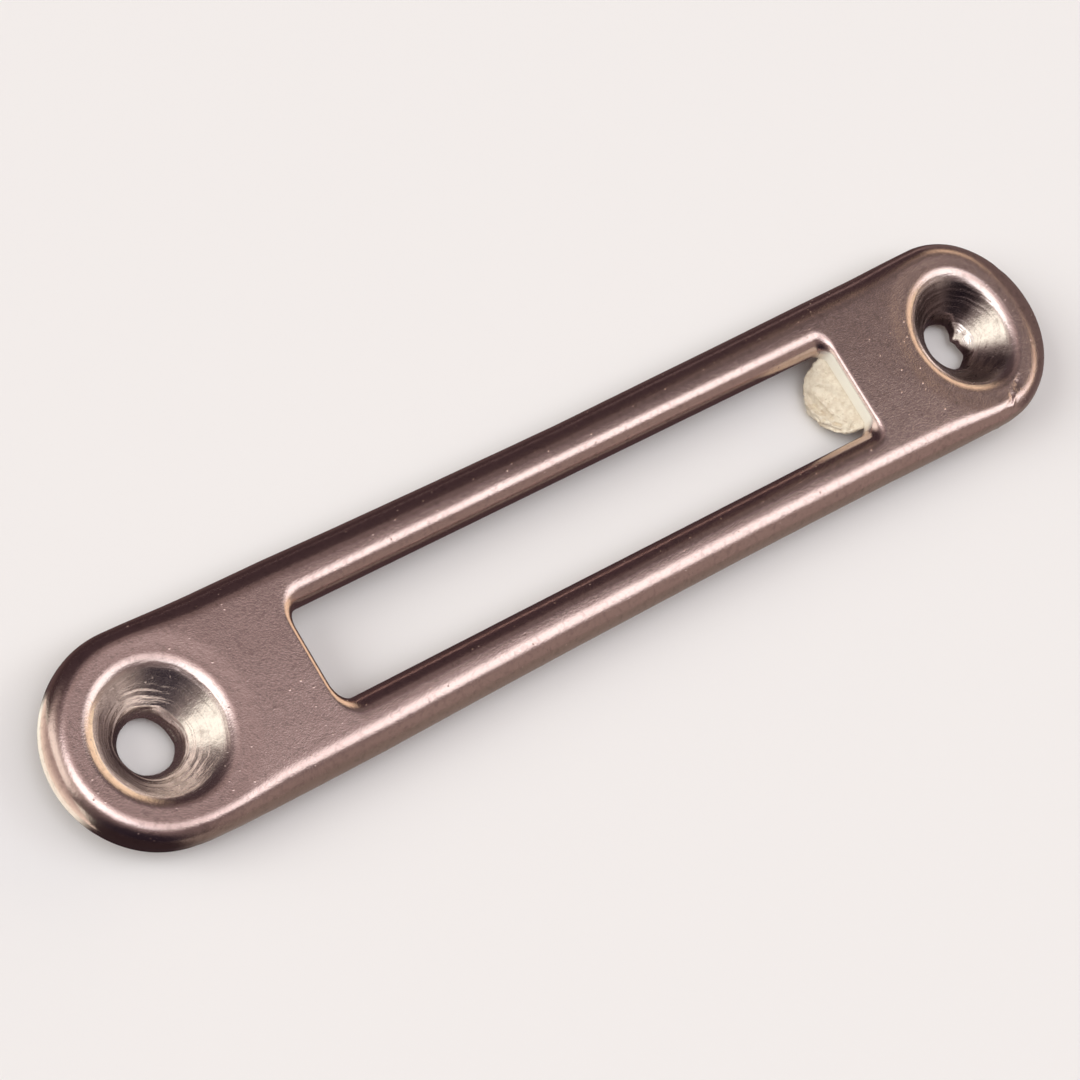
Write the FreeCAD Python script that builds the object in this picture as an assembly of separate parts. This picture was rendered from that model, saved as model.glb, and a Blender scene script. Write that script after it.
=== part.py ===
import FreeCAD, Part
import math
import os

# A door strike plate pressed from one piece of sheet steel.
# The origin lies midway between the two screw holes, on the plane where their bores end at the back.
# X runs along the plate towards the end that carries the tongue, and Z points out of the seen face.
# All sizes are in millimetres.

# Outline of the plate
plate_length = 70.0
end_width = 12.0
waist = 0.26

# The sheet and its outer edge
sheet = 0.8
shoulder_radius = 1.5
edge_wall = 0.1

# Slot for the bolt
slot_length = 39.0
slot_width = 5.45
slot_corner = 0.7
rail_roll = 1.2
flange_wall = 0.25
near_edge_roll = 0.45
far_edge_roll = 0.35
tightest_bend = 0.1
least_crown = 0.05

# Countersunk screw holes, pressed down as dimples
hole_from_end = 5.95
head_diameter = 7.4
head_angle = 90.0
lip_radius = 0.9
throat_diameter = 3.7
throat_depth = 0.7
bore_diameter = 3.1
bore_length = 0.25

# Tongue bent down from the far edge of the slot
tongue_radius = 2.5
tongue_drop = 1.0
tongue_slope = 50.0

# Places worked out from the sizes, with heights taken from the back rim until the last step
end_radius = end_width / 2
end_centre = plate_length / 2 - end_radius
plate_height = shoulder_radius + edge_wall
hole_x = plate_length / 2 - hole_from_end
slot_end = slot_length / 2
slot_side = slot_width / 2
under_top = plate_height - sheet
flange_bottom = under_top - max(rail_roll + flange_wall - sheet, tightest_bend)
hinge_height = plate_height - tongue_drop
side_radius = (end_centre ** 2 / waist - (end_width - waist)) / 2
side_centre = end_radius - waist + side_radius
rail_width = side_centre - side_radius - slot_side
rail_bend = max(rail_roll - sheet, tightest_bend)
cone_angle = math.radians(head_angle / 2)
throat_radius = throat_diameter / 2
bore_radius = bore_diameter / 2
throat_top = plate_height - (head_diameter / 2 - throat_radius) / math.tan(cone_angle)
throat_low = throat_top - throat_depth
dimple_floor = throat_low - bore_length
past = 2 * plate_height


def point(x, y, z):
    return FreeCAD.Vector(x, y, z)


# Waisted outline, moved inwards by a margin and drawn at one height
def outline(margin, z):
    radius = end_radius - margin
    reach = side_radius + end_radius
    tangent_x = end_centre - radius * end_centre / reach
    tangent_y = radius * side_centre / reach
    waist_y = end_radius - waist - margin
    right_top = point(tangent_x, tangent_y, z)
    left_top = point(-tangent_x, tangent_y, z)
    left_low = point(-tangent_x, -tangent_y, z)
    right_low = point(tangent_x, -tangent_y, z)
    edges = [
        Part.Arc(right_low, point(end_centre + radius, 0, z), right_top).toShape(),
        Part.Arc(right_top, point(0, waist_y, z), left_top).toShape(),
        Part.Arc(left_top, point(-end_centre - radius, 0, z), left_low).toShape(),
        Part.Arc(left_low, point(0, -waist_y, z), right_low).toShape(),
    ]
    return Part.Wire(edges)


# Slot outline with rounded corners, moved outwards by a margin
def slot_outline(margin, z):
    half_x = slot_end + margin
    half_y = slot_side + margin
    radius = slot_corner + margin
    diagonal = radius * (1 - math.sqrt(0.5))
    corners = []
    for sign_x, sign_y in ((1, 1), (-1, 1), (-1, -1), (1, -1)):
        on_side = point(sign_x * (half_x - radius), sign_y * half_y, z)
        on_end = point(sign_x * half_x, sign_y * (half_y - radius), z)
        middle = point(sign_x * (half_x - diagonal), sign_y * (half_y - diagonal), z)
        ends = (on_end, on_side) if sign_x * sign_y > 0 else (on_side, on_end)
        corners.append((ends[0], middle, ends[1]))
    edges = []
    for index, (start, middle, finish) in enumerate(corners):
        edges.append(Part.Arc(start, middle, finish).toShape())
        edges.append(Part.makeLine(finish, corners[(index + 1) % 4][0]))
    return Part.Wire(edges)


def raised(wire, height):
    return Part.Face(wire).extrude(point(0, 0, height))


# Edges of a solid that lie wholly at one height
def edges_at(solid, z):
    level = []
    for edge in solid.Edges:
        box = edge.BoundBox
        if abs(box.ZMin - z) < 1e-6 and abs(box.ZMax - z) < 1e-6:
            level.append(edge)
    return level


# Block with the outer shape of the pressing, its shoulder rounded
def outer_block():
    block = raised(outline(0, 0), plate_height)
    return block.makeFillet(shoulder_radius, edges_at(block, plate_height))


# Hollow side of the pressing, which leaves one sheet thickness of wall
def inner_block():
    bend = max(shoulder_radius - sheet, tightest_bend)
    block = raised(outline(sheet, -past), under_top + past)
    return block.makeFillet(bend, edges_at(block, under_top))


# Radii at the two ends of one edge of the slot: wide on the rails, tight at the ends
def roll_of(edge):
    wide = min(rail_roll, rail_width - shoulder_radius - least_crown)
    radii = []
    for parameter in (edge.FirstParameter, edge.LastParameter):
        place = edge.valueAt(parameter)
        if abs(abs(place.y) - slot_side) < 1e-6:
            radii.append(wide)
        elif place.x > 0:
            radii.append(far_edge_roll)
        else:
            radii.append(near_edge_roll)
    return radii


# Round the slot's upper edge, with radii that run from rail to end round each corner
def roll_slot_edge(solid):
    rolls = []
    for number, edge in enumerate(solid.Edges, start=1):
        box = edge.BoundBox
        level = abs(box.ZMin - plate_height) < 1e-6 and abs(box.ZMax - plate_height) < 1e-6
        inside = box.XMax < slot_end + 1e-6 and box.XMin > -slot_end - 1e-6
        beside = abs(box.YMin) < slot_side + 1e-6 and abs(box.YMax) < slot_side + 1e-6
        if level and inside and beside:
            first, last = roll_of(edge)
            rolls.append((number, first, last))
    document = FreeCAD.newDocument()
    plain = document.addObject("Part::Feature", "plain")
    plain.Shape = solid
    rolled = document.addObject("Part::Fillet", "rolled")
    rolled.Base = plain
    rolled.Edges = rolls
    document.recompute()
    return rolled.Shape.copy()


# Wall turned down round the slot: none at the near end, where the sheet is only cut,
# and a low one at the far end, down to the bend of the tongue
def flange_block():
    low = flange_bottom
    block = raised(slot_outline(sheet, low), plate_height - low)
    gap_x = sheet + rail_bend + slot_corner
    gap_y = slot_width - 2 * slot_corner
    near = Part.makeBox(gap_x, gap_y, under_top - low, point(-slot_end - gap_x, -gap_y / 2, low))
    far = Part.makeBox(gap_x, gap_y, hinge_height - low, point(slot_end, -gap_y / 2, low))
    return block.cut([near, far])


# Inner bend between the slot's flanges and the top sheet, along the two rails
def bend_fillets():
    length = slot_length - 2 * slot_corner
    pieces = []
    for side in (1, -1):
        wall = side * (slot_side + sheet)
        centre = side * (slot_side + sheet + rail_bend)
        low = under_top - rail_bend
        size = abs(centre - wall)
        corner = point(-length / 2, min(wall, centre), low)
        square = Part.makeBox(length, size, rail_bend, corner)
        axis = point(-length / 2, centre, low)
        round_bar = Part.makeCylinder(rail_bend, length, axis, point(1, 0, 0))
        pieces.append(square.cut(round_bar))
    return pieces


# Radius and height of the cone at its foot, at its lip and where the lip leaves the flat top
def cone_places(offset):
    lip = max(lip_radius - offset, tightest_bend)
    top = plate_height - offset
    run = math.tan(cone_angle)
    sharp = head_diameter / 2 + offset * (1 / math.cos(cone_angle) - run)
    tangent = lip * math.tan((math.pi / 2 - cone_angle) / 2)
    along = point(math.sin(cone_angle), 0, math.cos(cone_angle))
    lip_low = point(sharp, 0, top) - along * tangent
    lip_high = point(sharp + tangent, 0, top)
    centre = point(sharp + tangent, 0, top - lip)
    halfway = math.pi / 4 - cone_angle / 2
    lip_middle = centre + point(-math.sin(halfway), 0, math.cos(halfway)) * lip
    return lip_low, lip_middle, lip_high, run


# Solid turned from the hole's axis out to a dimple's cone, above a foot given as radii and heights
def dimple_solid(offset, foot, ceiling):
    lip_low, lip_middle, lip_high, run = cone_places(offset)
    start = point(0, 0, foot[0][1])
    axis_high = point(0, 0, ceiling)
    rim = point(lip_high.x, 0, ceiling)
    corners = [start] + [point(radius, 0, height) for radius, height in foot] + [lip_low]
    edges = [Part.makeLine(first, second) for first, second in zip(corners, corners[1:])]
    edges.append(Part.Arc(lip_low, lip_middle, lip_high).toShape())
    edges.append(Part.makeLine(lip_high, rim))
    edges.append(Part.makeLine(rim, axis_high))
    edges.append(Part.makeLine(axis_high, start))
    section = Part.Face(Part.Wire(edges))
    return section.revolve(point(0, 0, 0), point(0, 0, 1), 360)


# Room for the screw: its head's cone, the narrowing throat and the bore
def screw_seat():
    foot = [
        (bore_radius, dimple_floor - past),
        (bore_radius, throat_low),
        (throat_radius, throat_top),
    ]
    return dimple_solid(0, foot, plate_height + past)


# Underside of the dimple, one sheet thickness outside the seat
def dimple_back():
    radius = bore_radius + sheet
    lip_low, lip_middle, lip_high, run = cone_places(sheet)
    shoulder = lip_low.z - (lip_low.x - radius) / run
    foot = [(radius, dimple_floor)]
    if shoulder > dimple_floor:
        foot.append((radius, shoulder))
    else:
        foot = [(lip_low.x - (lip_low.z - dimple_floor) * run, dimple_floor)]
    return dimple_solid(sheet, foot, plate_height)


# Both screw places, as copies of one turned solid
def at_both_holes(solid):
    copies = []
    for x in (-hole_x, hole_x):
        copy = solid.copy()
        copy.translate(point(x, 0, 0))
        copies.append(copy)
    return copies


# Half disc bent down from the foot of the slot's far wall
def tongue():
    slope = math.radians(tongue_slope)
    low = hinge_height
    left = point(0, tongue_radius, 0)
    right = point(0, -tongue_radius, 0)
    half = Part.Wire([
        Part.Arc(right, point(-tongue_radius, 0, 0), left).toShape(),
        Part.makeLine(left, right),
    ])
    disc = Part.Face(half).extrude(point(0, 0, -sheet))
    disc.rotate(point(0, 0, 0), point(0, 1, 0), -tongue_slope)
    disc.translate(point(slot_end, 0, low))
    turn = math.pi / 2 - slope
    arc_middle = point(slot_end + sheet * math.cos(turn / 2), -tongue_radius, low - sheet * math.sin(turn / 2))
    arc_end = point(slot_end + sheet * math.sin(slope), -tongue_radius, low - sheet * math.cos(slope))
    hinge = point(slot_end, -tongue_radius, low)
    corner = point(slot_end + sheet, -tongue_radius, low)
    wedge = Part.Face(Part.Wire([
        Part.makeLine(hinge, corner),
        Part.Arc(corner, arc_middle, arc_end).toShape(),
        Part.makeLine(arc_end, hinge),
    ]))
    return [disc, wedge.extrude(point(0, 2 * tongue_radius, 0))]


def strike_plate():
    backs = at_both_holes(dimple_back())
    skin_cavity = inner_block().cut([flange_block()] + bend_fillets() + backs)
    slot = raised(slot_outline(0, -past), plate_height + 2 * past)
    solid = roll_slot_edge(outer_block().cut(slot))
    solid = solid.cut(skin_cavity).fuse(backs)
    solid = solid.cut(at_both_holes(screw_seat()))
    solid = solid.fuse(tongue()).removeSplitter()
    solid.translate(point(0, 0, -dimple_floor))
    return solid


os.makedirs("parts", exist_ok=True)
plate = strike_plate()
plate.exportStep("parts/strike_plate.step")
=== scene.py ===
import bpy
import math
import numpy as np
from mathutils import Matrix, Vector, noise
from mathutils.geometry import delaunay_2d_cdt


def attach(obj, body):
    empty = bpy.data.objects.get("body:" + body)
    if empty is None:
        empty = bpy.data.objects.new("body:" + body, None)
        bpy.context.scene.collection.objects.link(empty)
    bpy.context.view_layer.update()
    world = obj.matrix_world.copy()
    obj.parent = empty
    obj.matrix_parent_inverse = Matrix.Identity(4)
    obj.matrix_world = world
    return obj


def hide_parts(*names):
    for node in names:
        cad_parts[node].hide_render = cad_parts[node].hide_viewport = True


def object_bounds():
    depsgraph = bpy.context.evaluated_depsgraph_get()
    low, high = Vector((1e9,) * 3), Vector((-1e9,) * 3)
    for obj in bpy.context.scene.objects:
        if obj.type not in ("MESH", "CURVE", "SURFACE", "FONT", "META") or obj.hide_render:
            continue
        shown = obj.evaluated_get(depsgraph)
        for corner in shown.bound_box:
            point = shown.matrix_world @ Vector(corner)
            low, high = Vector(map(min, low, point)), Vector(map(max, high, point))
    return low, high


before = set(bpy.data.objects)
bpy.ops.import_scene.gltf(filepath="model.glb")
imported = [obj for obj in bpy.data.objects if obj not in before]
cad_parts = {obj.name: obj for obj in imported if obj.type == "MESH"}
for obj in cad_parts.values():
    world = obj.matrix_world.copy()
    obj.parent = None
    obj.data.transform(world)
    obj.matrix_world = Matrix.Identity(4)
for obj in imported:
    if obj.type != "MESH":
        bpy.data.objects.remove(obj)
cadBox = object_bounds()
mm = 0.001
print("frame loaded, CAD box", [tuple(round(v / mm, 2) for v in corner) for corner in cadBox])


def linearColour(code, alpha=1.0):
    parts = [int(code[i:i + 2], 16) / 255 for i in (1, 3, 5)]
    return [p / 12.92 if p <= 0.04045 else ((p + 0.055) / 1.055) ** 2.4 for p in parts] + [alpha]


# adds one node, with its settings and its links or socket values
def addNode(tree, kind, sockets=None, **settings):
    node = tree.nodes.new(kind)
    for name, value in settings.items():
        setattr(node, name, value)
    for socket, source in (sockets or {}).items():
        if isinstance(source, bpy.types.NodeSocket):
            tree.links.new(source, node.inputs[socket])
        else:
            node.inputs[socket].default_value = source
    return node


# sizes of the pressing, in millimetres, with heights from the back rim
plate = {
    "length": 70.0, "endWidth": 12.0, "waist": 0.26,
    "sheet": 0.8, "shoulder": 1.5, "endShoulder": 1.12, "farCrown": 0.36, "edgeWall": 0.1,
    "rimHeight": 1.2,           # the rim's own height above the ends of the bores
    "edgeBreak": 0.06,          # rounding that pressing leaves on cut edges
    "outlineSteps": 236, "sideSteps": 170, "shoulderSteps": 18,
    "topSpacing": 0.21, "backSpacing": 0.6,
    # how far the outline strays from true, outwards, as (x, distance)
    "frontStray": [(-35, -0.06), (-32.5, -0.12), (-29.8, -0.2), (-27.3, -0.05), (-24.7, 0.03), (-22, 0.08), (-18, 0.13),
                   (-14, 0.11), (-8, 0.08), (0, 0.06), (8, 0.02), (18, 0.0), (24, 0.02), (28, -0.02), (32, -0.12), (35, -0.04)],
    "backStray": [(-35, -0.06), (-33, -0.12), (-31, -0.06), (-24, -0.05), (-19, 0.0), (-14, -0.04), (-4, -0.08), (1, -0.11),
                  (8, -0.05), (20, -0.01), (26, -0.04), (29, -0.06), (32, 0.0), (35, -0.04)],
    # a fold that cracked in the press, over the shoulder by the far hole
    "crack": [(30.45, -3.95), (29.9, -4.5), (29.3, -4.76), (28.78, -5.29), (28.15, -5.75), (27.95, -6.05)],
    "crackDepth": 0.055, "crackWidth": 0.07, "crackLip": 0.03,
    "nick": (34.35, 2.55), "nickReach": 0.35, "nickDepth": 0.12,
}
slot = {
    "length": 39.0, "width": 5.45, "nearCorner": 1.15, "farCorner": 0.7,
    "railRoll": 1.2, "nearRoll": 0.45, "farRoll": 0.35,
    "flangeWall": 0.25, "hingeDrop": 1.0,
    "railSteps": 130, "endSteps": 30, "cornerSteps": 18, "rollSteps": 14,
}
dimple = {
    "fromEnd": 5.95, "head": 7.4, "lip": 1.25,
    "throat": 3.7, "throatDepth": 0.7, "bore": 3.1, "boreLength": 0.25,
    "steps": 168, "coneSteps": 30,
    "drawIn": 0.03, "drawReach": 1.3,       # how the flat top sinks towards the lip
    # the far seat is pinched on its outer side, as (radius, shift)
    "pinch": [(0.0, 0.28), (1.6, 0.30), (2.2, 0.36), (3.6, 0.62), (4.25, 0.62), (5.4, 0.0)],
    # burrs that the piercing left in the bores: side, angle, half width in degrees, reach
    "burrs": [(1, 2, 42, 0.62), (1, 75, 18, 0.08), (1, -60, 25, 0.12), (-1, 20, 40, 0.13), (-1, 120, 35, 0.05), (-1, -95, 30, 0.05)],
}

topZ = plate["shoulder"] + plate["edgeWall"]
underTop = topZ - plate["sheet"]
endRadius = plate["endWidth"] / 2
endCentre = plate["length"] / 2 - endRadius
sideRadius = (endCentre ** 2 / plate["waist"] - (plate["endWidth"] - plate["waist"])) / 2
sideCentre = endRadius - plate["waist"] + sideRadius
holeX = plate["length"] / 2 - dimple["fromEnd"]
slotEnd = slot["length"] / 2
slotSide = slot["width"] / 2


def smooth(t):
    t = np.clip(t, 0, 1)
    return t * t * (3 - 2 * t)


# outline points and their outward directions, counted anticlockwise from the far end's arc
def outlineLoop():
    lean = math.atan2(endCentre, sideCentre)
    places, outward = [], []
    for turn, sign in ((0.0, 1), (math.pi, -1)):
        first, last = -math.pi / 2 - lean, math.pi / 2 + lean
        for a in np.linspace(first, last, plate["outlineSteps"], endpoint=False):
            places.append((sign * endCentre + endRadius * math.cos(a + turn), endRadius * math.sin(a + turn)))
            outward.append((math.cos(a + turn), math.sin(a + turn)))
        for a in np.linspace(-lean, lean, plate["sideSteps"], endpoint=False):
            x = -sideRadius * math.sin(a) * sign
            y = (sideCentre - sideRadius * math.cos(a)) * sign
            places.append((x, y))
            outward.append((math.sin(a) * sign, math.cos(a) * sign))
    return np.array(places), np.array(outward)


# slot points, their directions away from the opening, and a share that runs from rail (0) to end (1)
def slotLoop():
    corners = ((1, 1, slot["farCorner"]), (-1, 1, slot["nearCorner"]), (-1, -1, slot["nearCorner"]), (1, -1, slot["farCorner"]))
    places, away, endShare = [], [], []
    for index, (sideX, sideY, r) in enumerate(corners):
        centre = np.array([sideX * (slotEnd - r), sideY * (slotSide - r)])
        start = index * math.pi / 2
        for k in range(slot["cornerSteps"]):
            t = k / slot["cornerSteps"]
            ray = np.array([math.cos(start + t * math.pi / 2), math.sin(start + t * math.pi / 2)])
            places.append(centre + r * ray)
            away.append(ray)
            s = 1 - t if index % 2 == 0 else t
            endShare.append(s * s * (3 - 2 * s))
        nextX, nextY, nextR = corners[(index + 1) % 4]
        normal = np.array([math.cos(start + math.pi / 2), math.sin(start + math.pi / 2)])
        first = centre + r * normal
        last = np.array([nextX * (slotEnd - nextR), nextY * (slotSide - nextR)]) + nextR * normal
        steps = slot["railSteps"] if index % 2 == 0 else slot["endSteps"]
        for k in range(steps):
            places.append(first + (last - first) * k / steps)
            away.append(normal)
            endShare.append(0.0 if index % 2 == 0 else 1.0)
    return np.array(places), np.array(away), np.array(endShare)


# one growing mesh: rings of points, strips between them and flat fills
class Skin:
    def __init__(self):
        self.points = []
        self.faces = []
        self.marks = []
        self.count = 0

    def ring(self, xyz, mark=(0.0, 0.0, 0.0)):
        xyz = np.asarray(xyz, float)
        start = self.count
        self.points.append(xyz)
        self.marks.append(np.broadcast_to(np.asarray(mark, float), (len(xyz), 3)))
        self.count += len(xyz)
        return np.arange(start, self.count)

    def strip(self, first, second):
        nextFirst, nextSecond = np.roll(first, -1), np.roll(second, -1)
        self.faces += np.stack([first, nextFirst, nextSecond, second], 1).tolist()

    # fills the ground between closed rings with fine triangles, facing up or down
    def fill(self, rings, keep, spacing, height, up):
        flat = np.concatenate(self.points)[:, :2]
        ids = np.concatenate(rings)
        edges, at = [], 0
        for ring in rings:
            edges += [(at + k, at + (k + 1) % len(ring)) for k in range(len(ring))]
            at += len(ring)
        xs = np.arange(-plate["length"] / 2, plate["length"] / 2, spacing)
        ys = np.arange(-endRadius, endRadius, spacing * 0.866)
        grid = np.array([(x + (0.5 * spacing if row % 2 else 0), y) for row, y in enumerate(ys) for x in xs])
        grid = grid[keep(grid, spacing * 0.62)]
        inside = self.ring(np.c_[grid, np.full(len(grid), height)])
        coords = [Vector(p) for p in np.r_[flat[ids], grid]]
        back = np.r_[ids, inside]
        made = delaunay_2d_cdt(coords, edges, [], 0, 1e-9)
        place = np.array([tuple(v) for v in made[0]])
        source = np.array([origin[0] if origin else -1 for origin in made[3]])
        triangles = np.array([f for f in made[2] if len(f) == 3])
        middle = place[triangles].mean(1)
        triangles = triangles[keep(middle, 0.0)]
        ordered = back[source[triangles]]
        if not up:
            ordered = ordered[:, ::-1]
        self.faces += ordered.tolist()


# tells which places lie on the flat ground, clear of the shoulder, the slot and the dimples
def groundTest(slotMargin, holeRadius):
    def keep(p, room):
        x, y = np.abs(p[:, 0]), p[:, 1]
        fromEnd = np.hypot(np.maximum(x - endCentre, 0), y)
        edge = np.where(x > endCentre - 0.3, endRadius - fromEnd, np.hypot(x, sideCentre - np.abs(y)) - sideRadius)
        hole = np.hypot(x - holeX, y)
        r = np.where(p[:, 0] > 0, slot["farCorner"], slot["nearCorner"])
        qx, qy = x - (slotEnd - r), np.abs(y) - (slotSide - r)
        away = np.hypot(np.maximum(qx, 0), np.maximum(qy, 0)) + np.minimum(np.maximum(qx, qy), 0) - r
        steep = np.clip(np.arctan2(np.maximum(qy, 1e-9), np.maximum(qx, 1e-9)) / (math.pi / 2), 0, 1)
        share = (1 - steep) ** 2 * (1 + 2 * steep)
        share = np.where(qx <= 0, 0.0, np.where(qy <= 0, 1.0, share))
        margin = slotMargin(share, p[:, 0] > 0)
        return (edge > shoulderAt(p[:, 0]) + room) & (away > margin + room) & (hole > holeRadius + room)
    return keep


# the shoulder is rounder along the rails and at the far tip than round the ends
def shoulderAt(x):
    tip = np.clip((x - endCentre) / endRadius, 0, 1) ** 2
    near = smooth((np.abs(x) - 23.5) / 5)
    return plate["shoulder"] + (plate["endShoulder"] - plate["shoulder"]) * near + plate["farCrown"] * tip


def rollRadius(share, far):
    return slot["railRoll"] + (np.where(far, slot["farRoll"], slot["nearRoll"]) - slot["railRoll"]) * share


def spread(places, outward, inset, z):
    inset = np.broadcast_to(inset, len(places))
    z = np.broadcast_to(z, len(places))
    return np.c_[places - outward * inset[:, None], z]


# the outer shoulder, the rim's cut edge and the inner side of the turned-down wall
def addEdgeBands(skin):
    places, outward = outlineLoop()
    r, sheet, eb = shoulderAt(places[:, 0]), plate["sheet"], plate["edgeBreak"]
    profile = []
    for a in np.linspace(0, math.pi / 2, plate["shoulderSteps"] + 1):
        profile.append((r * (1 - math.sin(a)), topZ - r * (1 - math.cos(a)), 0))
    profile += [(0, (topZ - r + eb) / 2, 0), (0, eb, 0.3), (eb * 0.3, eb * 0.3, 1), (eb, 0, 1)]
    profile += [(sheet - eb, 0, 1), (sheet - eb * 0.3, eb * 0.3, 1), (sheet, eb, 0)]
    inner = r - sheet
    for a in np.linspace(0, math.pi / 2, 7):
        profile.append((sheet + inner * (1 - math.cos(a)), underTop - inner * (1 - math.sin(a)), 0))
    rings = [skin.ring(spread(places, outward, inset, z), (edge, 0, 0)) for inset, z, edge in profile]
    for upper, lower in zip(rings, rings[1:]):
        skin.strip(lower, upper)
    return rings[0], rings[-1]


# the roll into the slot, its turned-down flange and the flange's outer side
def addSlotBands(skin):
    places, away, share = slotLoop()
    far = places[:, 0] > 0
    roll = rollRadius(share, far)
    sheet = plate["sheet"]
    railLow = topZ - slot["railRoll"] - slot["flangeWall"]
    endLow = np.where(far, topZ - slot["hingeDrop"] - 0.08, underTop - 0.03)
    low = railLow + (endLow - railLow) * share
    height = underTop - low
    bend = np.minimum(slot["railRoll"] - sheet, height * 0.6)
    eb = np.minimum(plate["edgeBreak"], height * 0.3)
    plain = (0, 0, 0)
    farWall = np.c_[0 * roll, 0 * roll, np.where(far, share, 0)]
    rings = []
    for a in np.linspace(0, math.pi / 2, slot["rollSteps"] + 1):
        rings.append((-roll * (1 - math.sin(a)), topZ - roll * (1 - math.cos(a)), farWall * smooth((math.degrees(a) - 52) / 22)))
    wallTop = topZ - roll
    for t in (0.12, 0.5):
        rings.append((0 * roll, wallTop + (low + eb - wallTop) * t, farWall))
    rings.append((0 * roll, low + eb, farWall + (0.5, 0, 0)))
    rings.append((-eb * 0.3, low + eb * 0.3, (1, 0, 0)))
    rings.append((-eb, low, (1, 0, 0)))
    rings.append((-(sheet - eb), low, (1, 0, 0)))
    rings.append((-(sheet - eb * 0.3), low + eb * 0.3, (1, 0, 0)))
    rings.append((-sheet + 0 * roll, low + eb, plain))
    for a in np.linspace(0, math.pi / 2, 6):
        rings.append((-(sheet + bend * (1 - math.cos(a))), underTop - bend * (1 - math.sin(a)), plain))
    made = [skin.ring(spread(places, away, inset, z), mark) for inset, z, mark in rings]
    for upper, lower in zip(made, made[1:]):
        skin.strip(upper, lower)
    return made[0], made[-1]


# seat profile from the flat top to the bore's end, then the dimple's back up to the sheet again:
# radius, height, how much it is a cut edge and how much the punch marked it
def dimpleProfile():
    lip, sheet, eb = dimple["lip"], plate["sheet"], plate["edgeBreak"]
    mouth = dimple["head"] / 2
    tangent = lip * math.tan(math.pi / 8)
    rows = []
    for a in np.linspace(0, math.pi / 4, 14):
        rows.append((mouth + tangent - lip * math.sin(a), topZ - lip * (1 - math.cos(a)), 0, (a / (math.pi / 4)) ** 2))
    throat, bore = dimple["throat"] / 2, dimple["bore"] / 2
    throatZ = topZ - (mouth - throat)
    startR, startZ = rows[-1][:2]
    for t in np.linspace(0, 1, dimple["coneSteps"] + 1)[1:-1]:
        rows.append((startR + (throat + 0.07 - startR) * t, startZ + (throatZ + 0.07 - startZ) * t, 0, 1))
    rows += [(throat + 0.06, throatZ + 0.06, 0.2, 1), (throat + 0.005, throatZ - 0.02, 0.4, 1), (throat - 0.03, throatZ - 0.1, 0, 1)]
    lowZ = throatZ - dimple["throatDepth"]
    for t in (0.35, 0.6, 0.85, 1.0):
        rows.append((throat + (bore - throat) * t, throatZ + (lowZ - throatZ) * t, 0.2, 1))
    floor = lowZ - dimple["boreLength"]
    rows += [(bore, (lowZ + floor) / 2, 0.5, 1), (bore, floor + eb, 1, 0)]
    rows += [(bore + eb * 0.3, floor + eb * 0.3, 1, 0), (bore + eb, floor, 1, 0)]
    outer = bore + sheet
    rows += [(outer - eb, floor, 1, 0), (outer - eb * 0.3, floor + eb * 0.3, 1, 0), (outer, floor + eb, 0, 0)]
    shift = sheet * (1 / math.cos(math.pi / 4) - 1)
    backMouth = mouth + shift
    meetZ = underTop - (backMouth - outer)
    rows.append((outer, meetZ, 0, 0))
    for t in np.linspace(0, 1, 10)[1:]:
        rows.append((outer + (backMouth - 0.05 - outer) * t, meetZ + (underTop - 0.05 - meetZ) * t, 0, 0))
    rows.append((backMouth + 0.05, underTop, 0, 0))
    return rows


def addDimple(skin, centreX):
    turns = np.linspace(0, 2 * math.pi, dimple["steps"], endpoint=False)
    made = []
    for radius, z, edge, punched in dimpleProfile():
        xyz = np.c_[centreX + radius * np.cos(turns), radius * np.sin(turns), np.full(len(turns), z)]
        made.append(skin.ring(xyz, (edge, punched, 0)))
    for upper, lower in zip(made, made[1:]):
        skin.strip(upper, lower)
    return made[0], made[-1]


# the small untruths of the real plate: its stray outline, sunk lips, pinched far seat and burred bores
def wearPoints(points):
    points = points.copy()
    x, y, z = points.T
    for side in (-1, 1):
        across = x - side * holeX
        reach = np.hypot(across, y)
        turn = np.degrees(np.arctan2(y, across))
        lipRadius = dimple["head"] / 2 + dimple["lip"] * math.tan(math.pi / 8)
        sink = smooth(1 - (reach - lipRadius) / dimple["drawReach"]) * smooth((z - topZ + plate["sheet"] + 0.4) / 0.8)
        points[:, 2] -= dimple["drawIn"] * np.where(reach < 6, sink, 0)
        if side > 0:
            shift = np.interp(reach, *zip(*dimple["pinch"]), right=0.0)
            points[:, 0] -= shift * np.maximum(0, np.cos(np.radians(turn))) ** 1.3
        for burrSide, angle, halfWidth, burrReach in dimple["burrs"]:
            if burrSide != side:
                continue
            away = np.abs((turn - angle + 180) % 360 - 180) / halfWidth
            inBore = (reach < dimple["throat"] / 2 + 0.02) & (z < 0) & (away < 1)
            for index in np.nonzero(inBore)[0]:
                ragged = 0.85 + 0.45 * noise.noise(Vector((turn[index] * 0.05, z[index] * 2.0, angle)))
                depth = smooth((dimple["throat"] / 2 - reach[index]) / 0.25 + 0.25)
                pull = burrReach * ragged * (1 - away[index] ** 2) * depth / reach[index]
                points[index, 0] -= across[index] * pull
                points[index, 1] -= y[index] * pull
    # the stray fades out from the outline inwards, and towards the very tips
    past = np.maximum(np.abs(x) - endCentre, 0)
    share = smooth((3.1 - endRadius + np.hypot(past, y)) / 2.2)
    share *= 1 + (smooth(np.abs(y) / 4) - 1) * smooth(past / 3)
    front = np.interp(x, *zip(*plate["frontStray"]))
    back = np.interp(x, *zip(*plate["backStray"]))
    points[:, 1] += np.sign(y) * np.where(y < 0, front, back) * share
    return points


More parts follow.
